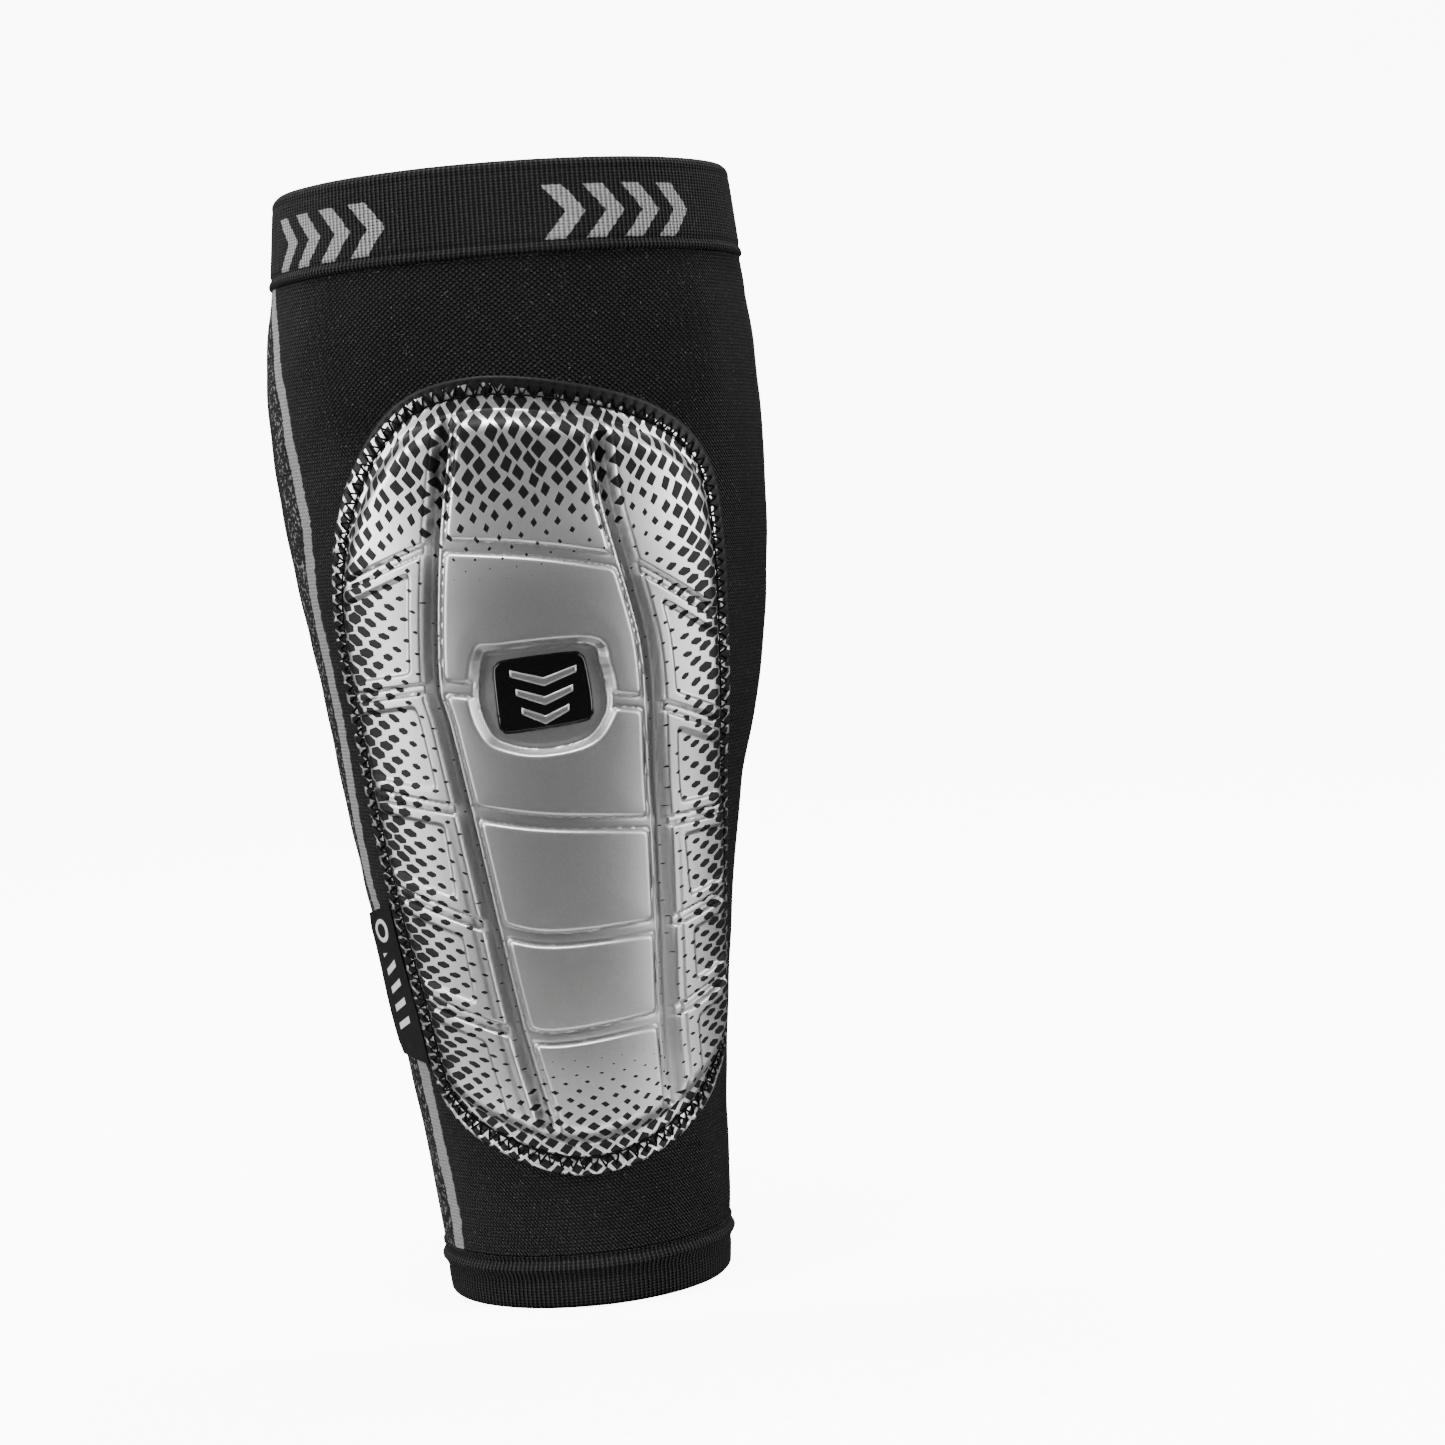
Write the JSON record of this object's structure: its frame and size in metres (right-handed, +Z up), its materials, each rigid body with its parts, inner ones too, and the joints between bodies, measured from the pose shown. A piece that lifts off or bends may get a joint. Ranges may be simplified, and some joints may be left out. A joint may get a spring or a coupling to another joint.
{
  "type": "shin guard",
  "caption": "Pull-on shin guard: a knit compression sleeve with a grooved foam pad under silver film sewn to its front, ribbed cuffs, a badge and a woven side label.",
  "frame": {"origin": "centre of the ankle opening, in the plane of the bottom cuff's rim, where the leg's axis leaves the sleeve", "axes": "+Z up the leg towards the knee, -Y the way the pad faces, +X to the right of someone who looks at the pad"},
  "size_m": [0.1255, 0.1223, 0.28],
  "materials": {
    "black_knit": "matt knit with a fine pique and twill grain",
    "ribbed_knit": "matt ribbed knit",
    "backing_fabric": "matt",
    "pad_foam": "matt closed-cell foam",
    "silver_film": "satin silver film with a black cell print",
    "black_thread": "twisted thread",
    "badge_gloss": "gloss",
    "woven_label": "flat woven"
  },
  "bodies": {
    "top_row": {"sleeve_top": "black_knit", "backing_top": "backing_fabric", "film_top": "silver_film", "stitching_top": "black_thread", "foam_left_top": "pad_foam", "foam_center_top": "pad_foam", "foam_right_top": "pad_foam", "top_cuff": "ribbed_knit"},
    "emblem_row": {"sleeve_emblem": "black_knit", "backing_emblem": "backing_fabric", "film_emblem": "silver_film", "stitching_emblem_left": "black_thread", "stitching_emblem_right": "black_thread", "foam_left_above_emblem": "pad_foam", "foam_center_above_emblem": "pad_foam", "foam_right_above_emblem": "pad_foam", "foam_left_below_emblem": "pad_foam", "foam_center_below_emblem": "pad_foam", "foam_right_below_emblem": "pad_foam", "foam_emblem": "pad_foam", "emblem_badge": "badge_gloss"},
    "middle_row": {"sleeve_middle": "black_knit", "backing_middle": "backing_fabric", "film_middle": "silver_film", "stitching_middle_left": "black_thread", "stitching_middle_right": "black_thread", "foam_left_middle": "pad_foam", "foam_center_middle": "pad_foam", "foam_right_middle": "pad_foam"},
    "lower_row": {"sleeve_lower": "black_knit", "backing_lower": "backing_fabric", "film_lower": "silver_film", "stitching_lower_left": "black_thread", "stitching_lower_right": "black_thread", "foam_left_lower": "pad_foam", "foam_center_lower": "pad_foam", "foam_right_lower": "pad_foam"},
    "bottom_row": {"sleeve_bottom": "black_knit", "backing_bottom": "backing_fabric", "film_bottom": "silver_film", "stitching_bottom": "black_thread", "foam_left_bottom": "pad_foam", "foam_center_bottom": "pad_foam", "foam_right_bottom": "pad_foam", "bottom_cuff": "ribbed_knit"},
    "label": {"woven_label": "woven_label"}
  },
  "joints": [
    {"name": "bend_above_emblem", "type": "hinge", "parent": "emblem_row", "child": "top_row", "pos_m": [0, -0.0376, 0.1865], "axis": [-1, 0, 0], "range_deg": [-6, 8], "stiffness_Nm_per_rad": 0.6, "deforming": ["sleeve_top", "backing_top", "film_top", "stitching_top", "sleeve_emblem", "backing_emblem", "film_emblem", "stitching_emblem_left", "stitching_emblem_right"]},
    {"name": "bend_below_emblem", "type": "hinge", "parent": "emblem_row", "child": "middle_row", "pos_m": [0, -0.0354, 0.121], "axis": [1, 0, 0], "range_deg": [-6, 8], "stiffness_Nm_per_rad": 0.6, "deforming": ["sleeve_middle", "backing_middle", "film_middle", "stitching_middle_left", "stitching_middle_right"]},
    {"name": "bend_middle", "type": "hinge", "parent": "middle_row", "child": "lower_row", "pos_m": [0, -0.0344, 0.0925], "axis": [1, 0, 0], "range_deg": [-6, 8], "stiffness_Nm_per_rad": 0.6, "deforming": ["sleeve_lower", "backing_lower", "film_lower", "stitching_lower_left", "stitching_lower_right"]},
    {"name": "bend_lower", "type": "hinge", "parent": "lower_row", "child": "bottom_row", "pos_m": [0, -0.0334, 0.0682], "axis": [1, 0, 0], "range_deg": [-6, 8], "stiffness_Nm_per_rad": 0.6, "deforming": ["sleeve_bottom", "backing_bottom", "film_bottom", "stitching_bottom"]},
    {"name": "label_flap", "type": "hinge", "parent": "lower_row", "child": "label", "pos_m": [-0.03883, -0.02037, 0.0816], "axis": [-0.162, 0.0421, 0.9859], "range_deg": [0, 110], "stiffness_Nm_per_rad": 0.002}
  ]
}
